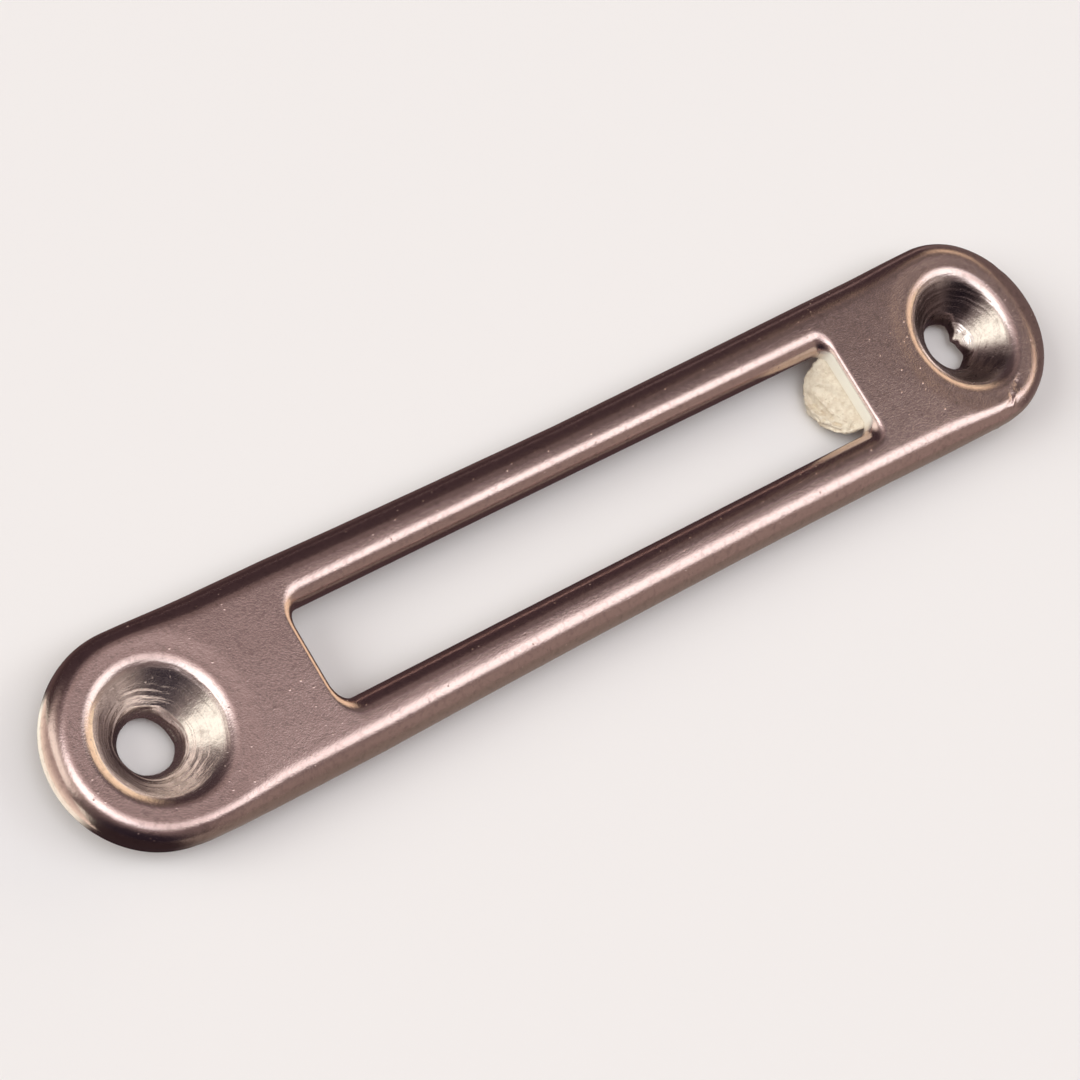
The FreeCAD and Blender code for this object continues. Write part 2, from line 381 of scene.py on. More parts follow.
# the crack over the far shoulder and the nick in the far rim, cut into the outer skin only
def carve(points, normals):
    x, y = points[:, 0], points[:, 1]
    outer = (normals[:, 2] > 0.02) | (normals[:, 0] * np.sign(x) * (np.abs(x) > endCentre) + normals[:, 1] * np.sign(y) > 0.3)
    change = np.zeros(len(points))
    nearest, side = np.full(len(points), 9.0), np.zeros(len(points))
    for (x0, y0), (x1, y1) in zip(plate["crack"], plate["crack"][1:]):
        dx, dy = x1 - x0, y1 - y0
        t = np.clip(((x - x0) * dx + (y - y0) * dy) / (dx * dx + dy * dy), 0, 1)
        away = np.hypot(x - x0 - t * dx, y - y0 - t * dy)
        side = np.where(away < nearest, np.sign((x - x0) * dy - (y - y0) * dx), side)
        nearest = np.minimum(nearest, away)
    width = plate["crackWidth"]
    change -= plate["crackDepth"] * np.exp(-(nearest / width) ** 2)
    change += plate["crackLip"] * np.exp(-((nearest - 2.4 * width) / width) ** 2) * (side < 0) * (np.abs(y) > 4.6)
    reach = np.hypot(x - plate["nick"][0], y - plate["nick"][1]) / plate["nickReach"]
    change -= plate["nickDepth"] * np.exp(-reach ** 4)
    points = points + normals * (change * outer)[:, None]
    points[:, 2] = np.minimum(points[:, 2], topZ)
    return points


def buildPlateMesh():
    skin = Skin()
    topOuter, backOuter = addEdgeBands(skin)
    topSlot, backSlot = addSlotBands(skin)
    holes = [addDimple(skin, x) for x in (-holeX, holeX)]
    profile = dimpleProfile()
    skin.fill([topOuter, topSlot] + [h[0] for h in holes], groundTest(rollRadius, profile[0][0]), plate["topSpacing"], topZ, True)

    def backMargin(share, far):
        return plate["sheet"] + (slot["railRoll"] - plate["sheet"]) * (1 - share) + 0.02 * share

    skin.fill([backOuter, backSlot] + [h[1] for h in holes], groundTest(backMargin, profile[-1][0]), plate["backSpacing"], underTop, False)
    points = wearPoints(np.concatenate(skin.points))
    mesh = bpy.data.meshes.new("strikePlateSkin")
    mesh.from_pydata(points, [], skin.faces)
    mesh.update()
    normals = np.empty(len(points) * 3)
    mesh.vertices.foreach_get("normal", normals)
    points = (carve(points, normals.reshape(-1, 3)) + (0, 0, plate["rimHeight"])) * mm
    mesh.vertices.foreach_set("co", points.ravel())
    mesh.update()
    marks = np.concatenate(skin.marks)
    for name, column in (("cutEdge", 0), ("inDimple", 1), ("farWall", 2)):
        layer = mesh.attributes.new(name, "FLOAT", "POINT")
        layer.data.foreach_set("value", marks[:, column].astype(np.float32))
    return mesh


def makeObject(name, mesh, *materials):
    made = bpy.data.objects.new(name, mesh)
    bpy.context.scene.collection.objects.link(made)
    for material in materials:
        mesh.materials.append(material)
    return made


def newMaterial(name):
    material = bpy.data.materials.new(name)
    material.use_nodes = True
    material.node_tree.nodes.clear()
    return material, material.node_tree


# nickel: real sizes of what its surface shows, in millimetres, and how deep each is
nickelLook = {
    # the seats' dark tone is painted shade for their shaded inner sides
    "plating": "#d2bab2", "platingDull": "#c0a69f", "dimpleTint": "#ece1d8", "dimplePaintedShade": "#5e474a", "farWall": "#fdf8e8", "grime": "#5c4a44",
    "gloss": 0.16, "glossSpread": 0.07,
    "peelSize": 0.105, "peelDepth": 0.0082,          # orange peel left by the bath
    "rippleSize": 1.5, "rippleDepth": 0.006,        # hand-polished unevenness
    "scratchWidth": 0.045, "scratchLength": 0.9, "scratchDepth": 0.0005,
    "pitSpacing": 0.8, "pitRadius": 0.075, "pitDepth": 0.011,
    "beadSpacing": 0.42, "beadRadius": 0.07, "beadDepth": 0.014,
    "ringPitch": 0.20, "ringDepth": 0.046,          # draw marks round the dimples
    "mottleSize": 0.35,
}


# bright nickel plate on pressed steel: a soft mirror with orange peel, fine scratches and draw marks
def makeNickel():
    look = nickelLook
    material, tree = newMaterial("brightNickelPlate")
    place = addNode(tree, "ShaderNodeTexCoord").outputs["Object"]

    def mark(name):
        return addNode(tree, "ShaderNodeAttribute", attribute_name=name).outputs["Fac"]

    def calc(operation, first, second=0.0, third=0.0):
        return addNode(tree, "ShaderNodeMath", {0: first, 1: second, 2: third}, operation=operation).outputs[0]

    def grain(size, detail, roughness=0.5, where=None):
        return addNode(tree, "ShaderNodeTexNoise", {
            "Vector": where or place, "Scale": 1 / (size * mm), "Detail": detail, "Roughness": roughness}).outputs["Fac"]

    def blend(share, first, second):
        return addNode(tree, "ShaderNodeMix", {0: share, 6: first, 7: second}, data_type="RGBA").outputs[2]

    def fade(source, low, high, bottom=0.0, top=1.0):
        return addNode(tree, "ShaderNodeMapRange", {0: source, 1: low, 2: high, 3: bottom, 4: top}).outputs[0]

    # sparse round spots: the share of cells that carry one, and its radius
    def spots(spacing, radius, share, shift):
        moved = addNode(tree, "ShaderNodeMapping", {"Vector": place, "Location": (shift * mm, 0, 0)}).outputs[0]
        cells = addNode(tree, "ShaderNodeTexVoronoi", {"Vector": moved, "Scale": 1 / (spacing * mm)})
        pick = addNode(tree, "ShaderNodeSeparateColor", {0: cells.outputs["Color"]}).outputs[0]
        near = addNode(tree, "ShaderNodeMapRange", {
            0: cells.outputs["Distance"], 1: radius / spacing, 2: 0.0, 3: 0.0, 4: 1.0}, interpolation_type="SMOOTHSTEP").outputs[0]
        return calc("MULTIPLY", near, calc("GREATER_THAN", pick, 1 - share))

    inDimple, cutEdge, farWall = mark("inDimple"), mark("cutEdge"), mark("farWall")
    peel = grain(look["peelSize"], 3.0, 0.6)
    ripple = grain(look["rippleSize"], 1.0)
    patches = grain(5.0, 3.0, 0.6)
    mottle = grain(look["mottleSize"], 4.0, 0.65)
    pits = spots(look["pitSpacing"], look["pitRadius"], 0.16, 0.0)
    beads = spots(look["beadSpacing"], look["beadRadius"], 0.24, 31.0)

    along = addNode(tree, "ShaderNodeMapping", {
        "Vector": place, "Rotation": (0, 0, math.radians(-9)),
        "Scale": (1 / (look["scratchLength"] * mm), 1 / (look["scratchWidth"] * mm), 1 / (0.4 * mm))}).outputs[0]
    lines = addNode(tree, "ShaderNodeTexNoise", {"Vector": along, "Scale": 1.0, "Detail": 1.0}).outputs["Fac"]
    scratches = fade(lines, 0.68, 0.76)

    # radius from the nearer hole's axis drives the draw marks, as both dimples were pressed alike
    parts = addNode(tree, "ShaderNodeSeparateXYZ", {0: place})
    sideways = calc("SUBTRACT", calc("ABSOLUTE", parts.outputs[0]), holeX * mm)
    wobble = calc("MULTIPLY", calc("SUBTRACT", grain(1.8, 1.0), 0.5), 0.5 * mm)
    reach = calc("SQRT", calc("MULTIPLY_ADD", sideways, sideways, calc("MULTIPLY", parts.outputs[1], parts.outputs[1])))
    radius = calc("ADD", reach, wobble)
    broken = calc("MULTIPLY", parts.outputs[0], 0.03)
    ringPlace = addNode(tree, "ShaderNodeCombineXYZ", {0: radius, 1: broken}).outputs[0]
    rings = calc("MULTIPLY", grain(look["ringPitch"], 1.5, where=ringPlace), inDimple)
    punched = calc("MULTIPLY", grain(0.6, 3.0, 0.6), inDimple)

    colour = blend(calc("MULTIPLY", patches, 0.7), linearColour(look["plating"]), linearColour(look["platingDull"]))
    colour = blend(calc("MULTIPLY", inDimple, 0.85), colour, linearColour(look["dimpleTint"]))
    # painted shade: the seats are darkened on their near side, and the far one all round but for one bright sector left
    # clear
    signed = calc("SIGN", parts.outputs[0])
    outwards = calc("DIVIDE", calc("MULTIPLY", sideways, signed), reach)
    lowSide = calc("DIVIDE", parts.outputs[1], reach)
    patch = calc("MULTIPLY_ADD", outwards, 0.997, calc("MULTIPLY", lowSide, -0.07))
    farSeatPaintedShade = calc("MULTIPLY", fade(patch, 0.94, 0.80), calc("MAXIMUM", signed, 0.0))
    seatPaintedShade = calc("MAXIMUM", fade(outwards, -0.1, -0.75), farSeatPaintedShade)
    seatPaintedShade = calc("MULTIPLY", calc("MULTIPLY", seatPaintedShade, fade(radius, 3.45 * mm, 3.0 * mm)), calc("MULTIPLY", inDimple, 0.75))
    # the painted shade is mixed into the seats' colour below the lip
    colour = blend(seatPaintedShade, colour, linearColour(look["dimplePaintedShade"]))
    colour = blend(farWall, colour, linearColour(look["farWall"]))
    dirt = calc("MAXIMUM", fade(mottle, 0.50, 0.72, 0.0, 0.22), calc("MULTIPLY", pits, 0.7))
    dirt = calc("MAXIMUM", dirt, calc("MULTIPLY", fade(punched, 0.52, 0.72), 0.35))
    dirt = calc("MULTIPLY", dirt, calc("SUBTRACT", 1.0, farWall))
    colour = blend(dirt, colour, linearColour(look["grime"]))

    rough = calc("MULTIPLY_ADD", patches, look["glossSpread"], look["gloss"])
    rough = calc("MULTIPLY_ADD", scratches, 0.05, rough)
    rough = calc("MULTIPLY_ADD", cutEdge, 0.12, rough)
    rough = calc("MULTIPLY_ADD", punched, 0.12, rough)
    rough = calc("MULTIPLY_ADD", farWall, 0.25, rough)
    metal = calc("MULTIPLY_ADD", farWall, -0.9, 1.0)

    height = calc("MULTIPLY", peel, look["peelDepth"] * mm)
    height = calc("MULTIPLY_ADD", ripple, look["rippleDepth"] * mm, height)
    height = calc("MULTIPLY_ADD", rings, look["ringDepth"] * mm, height)
    height = calc("MULTIPLY_ADD", punched, 0.02 * mm, height)
    height = calc("MULTIPLY_ADD", scratches, -look["scratchDepth"] * mm, height)
    height = calc("MULTIPLY_ADD", pits, -look["pitDepth"] * mm, height)
    height = calc("MULTIPLY_ADD", beads, look["beadDepth"] * mm, height)
    bump = addNode(tree, "ShaderNodeBump", {"Strength": 1.0, "Distance": 1.0, "Height": height}).outputs[0]
    shader = addNode(tree, "ShaderNodeBsdfPrincipled", {
        "Base Color": colour, "Metallic": metal, "Roughness": rough, "Normal": bump})
    addNode(tree, "ShaderNodeOutputMaterial", {"Surface": shader.outputs[0]})
    return material


tongueLook = {
    "face": "#ebe0cb", "hollow": "#d6c6ae", "crustSize": 0.30, "crustDepth": 0.030, "gritSize": 0.09, "gritDepth": 0.010,
}


# torn and hammered steel under thin plating: dull, cream coloured, rough to the touch
def makeTornSteel():
    look = tongueLook
    material, tree = newMaterial("tornSteelUnderThinPlating")
    place = addNode(tree, "ShaderNodeTexCoord").outputs["Object"]

    def grain(size, detail):
        return addNode(tree, "ShaderNodeTexNoise", {
            "Vector": place, "Scale": 1 / (size * mm), "Detail": detail, "Roughness": 0.6}).outputs["Fac"]

    crust, grit = grain(look["crustSize"], 3.0), grain(look["gritSize"], 2.0)
    share = addNode(tree, "ShaderNodeMapRange", {0: crust, 1: 0.30, 2: 0.62, 3: 1.0, 4: 0.0}).outputs[0]
    colour = addNode(tree, "ShaderNodeMix", {
        0: share, 6: linearColour(look["face"]), 7: linearColour(look["hollow"])}, data_type="RGBA").outputs[2]
    height = addNode(tree, "ShaderNodeMath", {0: crust, 1: look["crustDepth"] * mm}, operation="MULTIPLY").outputs[0]
    height = addNode(tree, "ShaderNodeMath", {0: grit, 1: look["gritDepth"] * mm, 2: height}, operation="MULTIPLY_ADD").outputs[0]
    bump = addNode(tree, "ShaderNodeBump", {"Strength": 1.0, "Distance": 1.0, "Height": height}).outputs[0]
    rough = addNode(tree, "ShaderNodeMath", {0: grit, 1: 0.3, 2: 0.32}, operation="MULTIPLY_ADD").outputs[0]
    shader = addNode(tree, "ShaderNodeBsdfPrincipled", {
        "Base Color": colour, "Metallic": 0.25, "Roughness": rough, "Normal": bump})
    addNode(tree, "ShaderNodeOutputMaterial", {"Surface": shader.outputs[0]})
    return material


nickel = makeNickel()
tornSteel = makeTornSteel()
print("materials made")


# starts a Geometry Nodes tree with named inputs and returns it with its two ends
def startTree(name, inputs):
    tree = bpy.data.node_groups.new(name, "GeometryNodeTree")
    tree.interface.new_socket("Geometry", in_out="INPUT", socket_type="NodeSocketGeometry")
    for label, kind, value in inputs:
        socket = tree.interface.new_socket(label, in_out="INPUT", socket_type=kind)
        if value is not None:
            socket.default_value = value
    tree.interface.new_socket("Geometry", in_out="OUTPUT", socket_type="NodeSocketGeometry")
    return tree, tree.nodes.new("NodeGroupInput"), tree.nodes.new("NodeGroupOutput")


# the tree's last nodes, as an export keeps no instances
def endTree(tree, geometry, material, last):
    whole = addNode(tree, "GeometryNodeRealizeInstances", {"Geometry": geometry}).outputs[0]
    dressed = addNode(tree, "GeometryNodeSetMaterial", {"Geometry": whole, "Material": material}).outputs[0]
    tree.links.new(dressed, last.inputs[0])


# polishing and plating leave the skin faintly wavy, so straight highlights wander a little
def makeWavyTree():
    tree, first, last = startTree("wavySkin", (
        ("Wave size", "NodeSocketFloat", 2.6 * mm), ("Wave depth", "NodeSocketFloat", 0.016 * mm),
        ("Seed", "NodeSocketInt", 4), ("Finish", "NodeSocketMaterial", None)))
    inputs = first.outputs
    place = addNode(tree, "GeometryNodeInputPosition").outputs[0]
    scale = addNode(tree, "ShaderNodeMath", {0: 1.0, 1: inputs["Wave size"]}, operation="DIVIDE").outputs[0]
    waves = addNode(tree, "ShaderNodeTexNoise", {
        "Vector": place, "W": inputs["Seed"], "Scale": scale, "Detail": 1.0}, noise_dimensions="4D").outputs["Fac"]
    inward = addNode(tree, "ShaderNodeMath", {0: waves, 1: -1.0}, operation="ADD").outputs[0]
    depth = addNode(tree, "ShaderNodeMath", {0: inward, 1: inputs["Wave depth"]}, operation="MULTIPLY").outputs[0]
    normal = addNode(tree, "GeometryNodeInputNormal").outputs[0]
    offset = addNode(tree, "ShaderNodeVectorMath", {0: normal, "Scale": depth}, operation="SCALE").outputs[0]
    moved = addNode(tree, "GeometryNodeSetPosition", {"Geometry": inputs["Geometry"], "Offset": offset}).outputs[0]
    endTree(tree, moved, inputs["Finish"], last)
    return tree


# small hard grains that sit half sunk in a face, below a height limit
def makeGrainTree():
    tree, first, last = startTree("grainsOnFace", (
        ("Grains per square millimetre", "NodeSocketFloat", 4.0), ("Smallest", "NodeSocketFloat", 0.02 * mm),
        ("Largest", "NodeSocketFloat", 0.06 * mm), ("Highest", "NodeSocketFloat", 1.0), ("Lowest", "NodeSocketFloat", -1.0),
        ("Seed", "NodeSocketInt", 11), ("Finish", "NodeSocketMaterial", None)))
    inputs = first.outputs
    place = addNode(tree, "GeometryNodeInputPosition").outputs[0]
    height = addNode(tree, "ShaderNodeSeparateXYZ", {0: place}).outputs[2]
    normal = addNode(tree, "GeometryNodeInputNormal").outputs[0]
    facing = addNode(tree, "ShaderNodeSeparateXYZ", {0: normal}).outputs[2]
    low = addNode(tree, "ShaderNodeMath", {0: height, 1: inputs["Highest"]}, operation="LESS_THAN").outputs[0]
    high = addNode(tree, "ShaderNodeMath", {0: height, 1: inputs["Lowest"]}, operation="GREATER_THAN").outputs[0]
    outer = addNode(tree, "ShaderNodeMath", {0: facing, 1: 0.45}, operation="GREATER_THAN").outputs[0]
    chosen = addNode(tree, "ShaderNodeMath", {0: low, 1: high}, operation="MULTIPLY").outputs[0]
    chosen = addNode(tree, "ShaderNodeMath", {0: chosen, 1: outer}, operation="MULTIPLY").outputs[0]
    density = addNode(tree, "ShaderNodeMath", {0: inputs["Grains per square millimetre"], 1: 1e6}, operation="MULTIPLY").outputs[0]
    points = addNode(tree, "GeometryNodeDistributePointsOnFaces", {
        "Mesh": inputs["Geometry"], "Selection": chosen, "Density": density, "Seed": inputs["Seed"]})
    size = addNode(tree, "FunctionNodeRandomValue", {
        2: inputs["Smallest"], 3: inputs["Largest"], "Seed": inputs["Seed"]}, data_type="FLOAT").outputs[1]
    stretch = addNode(tree, "FunctionNodeRandomValue", {
        0: (0.6, 0.6, 0.35), 1: (1.3, 1.3, 0.7), "Seed": inputs["Seed"]}, data_type="FLOAT_VECTOR").outputs[0]
    shape = addNode(tree, "ShaderNodeVectorMath", {0: stretch, "Scale": size}, operation="SCALE").outputs[0]
    ball = addNode(tree, "GeometryNodeMeshIcoSphere", {"Radius": 1.0, "Subdivisions": 2}).outputs[0]
    grains = addNode(tree, "GeometryNodeInstanceOnPoints", {
        "Points": points.outputs["Points"], "Instance": ball, "Rotation": points.outputs["Rotation"], "Scale": shape}).outputs[0]
    endTree(tree, grains, inputs["Finish"], last)
    return tree


# runs a tree on a mesh and returns its result as a plain mesh
def runTree(tree, source, **values):
    helper = bpy.data.objects.new("helper", source)
    bpy.context.scene.collection.objects.link(helper)
    modifier = helper.modifiers.new("nodes", "NODES")
    modifier.node_group = tree
    for item in tree.interface.items_tree:
        label = item.name.replace(" ", "_")
        if item.in_out == "INPUT" and label in values:
            modifier[item.identifier] = values[label]
    done = bpy.data.meshes.new_from_object(helper.evaluated_get(bpy.context.evaluated_depsgraph_get()))
    helper.modifiers.remove(modifier)
    bpy.data.objects.remove(helper)
    return done


def dress(name, mesh):
    piece = bpy.data.objects.new(name, mesh)
    bpy.context.scene.collection.objects.link(piece)
    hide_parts("strike_plate")
    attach(piece, "root")
    print(name, "made,", sum(len(f.vertices) - 2 for f in mesh.polygons), "triangles")
    return piece


rawSkin = buildPlateMesh()
rawSkin.shade_smooth()
rawSkin.set_sharp_from_angle(angle=math.radians(50))
skinMesh = runTree(makeWavyTree(), rawSkin, Finish=nickel)
dress("dressedPlate", skinMesh)

grainTree = makeGrainTree()
beadMesh = runTree(grainTree, skinMesh, Grains_per_square_millimetre=0.28, Smallest=0.02 * mm, Largest=0.05 * mm,
                   Highest=2.70 * mm, Lowest=1.35 * mm, Seed=21, Finish=nickel)
beadMesh.shade_smooth()
dress("platingBeads", beadMesh)


# the half disc bent down from the slot's far wall, with the torn ridges that the press left on it
tongue = {
    "radius": 2.46, "shift": 0.08, "slope": 50.0, "bendRadius": 0.06,
    "rows": 60, "columns": 110, "bendRows": 7,
    "edgeJitter": 0.10, "faceWave": 0.06,
    # ridges as (distance down the slope, y) at both ends, height and width
    "ridges": [((2.16, -0.02), (1.61, -1.14), 0.26, 0.13), ((1.55, 0.75), (1.28, -0.74), 0.17, 0.10),
               ((2.30, 0.9), (2.22, -0.7), 0.16, 0.09), ((1.96, 0.95), (1.90, 0.25), -0.17, 0.16),
               ((1.80, -0.35), (1.48, -1.05), -0.11, 0.09), ((1.2, 1.12), (1.15, 1.0), -0.05, 0.10),
               ((0.5, -1.7), (0.9, -1.95), 0.09, 0.10),
               ((2.20, 0.35), (2.02, -0.85), 0.13, 0.07), ((2.02, -0.85), (1.35, -1.72), 0.13, 0.07),
               ((2.02, 0.30), (1.84, -0.80), -0.11, 0.06), ((1.84, -0.80), (1.20, -1.60), -0.11, 0.06)],
    "spur": ((2.25, 1.55), 0.16, 0.15),     # small point on the rim: place, reach and width
}


def tongueFace(s, y):
    lift = tongue["faceWave"] * noise.noise(Vector((s * 1.3, y * 1.3, 4.0)))
    lift += 0.35 * tongue["faceWave"] * noise.noise(Vector((s * 4.1, y * 4.1, 9.0)))
    for (s0, y0), (s1, y1), tall, wide in tongue["ridges"]:
        ds, dy = s1 - s0, y1 - y0
        t = min(1, max(0, ((s - s0) * ds + (y - y0) * dy) / (ds * ds + dy * dy)))
        away = math.hypot(s - s0 - t * ds, y - y0 - t * dy)
        lift += tall * (0.75 + 0.5 * noise.noise(Vector((s * 3, y * 3, 2.0)))) * math.exp(-(away / wide) ** 2)
    return lift


# one point of the half disc: place down the slope and across, after the torn rim's jitter, and its rounding
def discPoint(u, v):
    r = tongue["radius"]
    s = r * u * math.sqrt(1 - v * v / 2)
    y = r * v * math.sqrt(1 - u * u / 2)
    rim = max(u, abs(v)) ** 6
    angle = math.atan2(y, s + 1e-6)
    jitter = noise.noise(Vector((angle * 4.5, 1.5, 0))) + 0.6 * noise.noise(Vector((angle * 17.0, 7.5, 0)))
    (spurS, spurY), reach, width = tongue["spur"]
    grow = rim * (tongue["edgeJitter"] * jitter + reach * math.exp(-(math.hypot(s - spurS, y - spurY) / width) ** 2)) / r
    rounding = 0.10 * max(0.0, (max(u, abs(v)) - 0.93) / 0.07) ** 2
    return s * (1 + grow * min(1, u * 4)), y * (1 + grow), rounding


def buildTongue():
    slope, sheet, bend = math.radians(tongue["slope"]), plate["sheet"], tongue["bendRadius"]
    down = np.array([-math.cos(slope), 0, -math.sin(slope)])
    outFace = np.array([-math.sin(slope), 0, math.cos(slope)])
    bendCentre = np.array([slotEnd - bend, tongue["shift"], topZ - slot["hingeDrop"]])
    across = np.linspace(-1, 1, tongue["columns"] + 1)
    reach = tongue["radius"] - 0.02
    turnEnd = slope - math.pi / 2
    front, back = [], []
    for a in np.linspace(0.25, turnEnd, tongue["bendRows"])[:-1]:
        ray = np.array([math.cos(a), 0, math.sin(a)])
        front.append([bendCentre + ray * bend + (0, v * reach, 0) for v in across])
        back.append([bendCentre + ray * (bend + sheet) + (0, v * reach, 0) for v in across])
    start = bendCentre + np.array([math.cos(turnEnd), 0, math.sin(turnEnd)]) * bend
    for u in np.linspace(0, 1, tongue["rows"] + 1):
        frontRow, backRow = [], []
        for v in across:
            s, y, rounding = discPoint(u, v)
            lift = tongueFace(s, y) * min(1.0, u * 5) - rounding * min(1, u * 4)
            frontRow.append(start + down * s + (0, y, 0) + outFace * lift)
            backRow.append(start + down * s + (0, y * 0.985, 0) - outFace * (sheet - rounding))
        front.append(frontRow)
        back.append(backRow)
    front, back = np.array(front), np.array(back)
    n, m = front.shape[:2]
    lowest = cadBox[0].z / mm - plate["rimHeight"] + 0.004
    points = np.concatenate([front.reshape(-1, 3), back.reshape(-1, 3)])
    points[:, 2] = np.maximum(points[:, 2], lowest)
    faces = []
    for i in range(n - 1):
        for k in range(m - 1):
            a, b, c, d = i * m + k, i * m + k + 1, (i + 1) * m + k + 1, (i + 1) * m + k
            faces.append((a, b, c, d))
            faces.append((n * m + a, n * m + d, n * m + c, n * m + b))
    border = [k for k in range(m)] + [i * m + m - 1 for i in range(1, n)]
    border += [(n - 1) * m + k for k in range(m - 2, -1, -1)] + [i * m for i in range(n - 2, 0, -1)]
    for first, second in zip(border, border[1:] + border[:1]):
        faces.append((second, first, n * m + first, n * m + second))
    mesh = bpy.data.meshes.new("tongueMesh")
    mesh.from_pydata((points + (0, 0, plate["rimHeight"])) * mm, [], faces)
    mesh.materials.append(tornSteel)
    mesh.shade_smooth()
    mesh.set_sharp_from_angle(angle=math.radians(60))
    return mesh


tongueMesh = buildTongue()
crumbMesh = runTree(grainTree, tongueMesh, Grains_per_square_millimetre=9.0, Smallest=0.02 * mm, Largest=0.075 * mm,
                    Highest=1.5 * mm, Lowest=-0.4 * mm, Seed=8, Finish=tornSteel)
crumbMesh.shade_smooth()
dress("dressedTongue", tongueMesh)
dress("tongueCrumbs", crumbMesh)


# floor, light and camera; the plate mirrors the room, so the room's tones are soft patches
studio = {
    "floorSize": 4.0, "floorColour": "#efedeb",
    "windowHeight": 0.6, "windowCentre": (0.863, -0.452), "windowSize": (1.00, 0.60), "windowTurn": -23.0,
    "windowRadiance": 1.85, "windowTint": (0.95, 1.0, 1.04),
    "revealSize": 0.10, "revealRadiance": 0.85,
    "wingCentre": (0.20, -0.30), "wingSize": (0.30, 0.62), "wingRadiance": 0.62,
    "fillPlace": (-1.15, 0.45, 0.75), "fillSize": 0.8, "fillRadiance": 4.9,
    # colours of the room by the height of the direction's z
    "roomTones": [(0.0, (0.17, 0.14, 0.13)), (0.70, (0.213, 0.166, 0.171)), (0.90, (0.43, 0.353, 0.362)), (1.0, (1.05, 0.95, 0.96))],
    # soft patches: direction, inner and outer angle in degrees, colour
    "patches": [
        ((0.642, 0.383, 0.664), 14, 21, (0.095, 0.078, 0.096)),
        ((0.36, 0.90, 0.22), 30, 59, (0.072, 0.048, 0.056)),
        ((0.437, 0.366, 0.82), 5, 14, (0.30, 0.235, 0.23)),
        ((-0.67, 0.56, 0.48), 12, 36, (0.54, 0.46, 0.44)),
        ((-0.45, -0.88, 0.15), 22, 45, (0.030, 0.022, 0.034)),
        ((0.69, -0.69, 0.26), 14, 30, (0.40, 0.33, 0.31)),
        ((0.96, 0.13, 0.24), 19, 36, (1.42, 1.18, 0.86)),
        ((-0.66, 0.25, 0.71), 14, 30, (0.64, 0.57, 0.54)),
        ((-0.82, 0.43, 0.37), 16, 34, (1.50, 1.50, 1.40)),
        ((-0.10, -0.275, 0.956), 7, 14, (1.5, 1.6, 1.75)),
        ((-0.22, -0.03, 0.975), 12, 23, (2.45, 2.5, 2.6)),
        ((0.637, 0.238, 0.733), 7, 15.5, (0.140, 0.116, 0.126)),
    ],
    # toned cards on the floor, seen in the metal alone; the dark one under the plate is painted shadow, standing in for
    # the plate's own shade on the floor
    "frontCard": (0.30, 0.262, 0.235), "paintedShadowCard": (0.085, 0.055, 0.06), "nearBackCard": (0.13, 0.088, 0.088),
    "farBackCard": (0.07, 0.045, 0.05), "creamCard": (1.5, 1.6, 1.42), "farEndCard": (0.42, 0.32, 0.31),
    "nearEndCard": (0.045, 0.030, 0.034),
    "farFlag": (36.6, 6.0, (0.22, 0.17, 0.17), (0.19, 0.15, 0.15)),
    "nearFlag": (7.6, 3.7, (1.30, 1.22, 1.06), (0.60, 0.51, 0.48)),         # radius, height and tone
}
floorZ = cadBox[0].z


def square(name, half, z):
    mesh = bpy.data.meshes.new(name)
    mesh.from_pydata([(-half, -half, z), (half, -half, z), (half, half, z), (-half, half, z)], [], [(0, 1, 2, 3)])
    return mesh


def makeFloor():
    material, tree = newMaterial("paleFloor")
    own = addNode(tree, "ShaderNodeBsdfDiffuse", {"Color": linearColour(studio["floorColour"])})
    addNode(tree, "ShaderNodeOutputMaterial", {"Surface": own.outputs[0]})
    makeObject("floor", square("floorMesh", studio["floorSize"] / 2, floorZ), material)
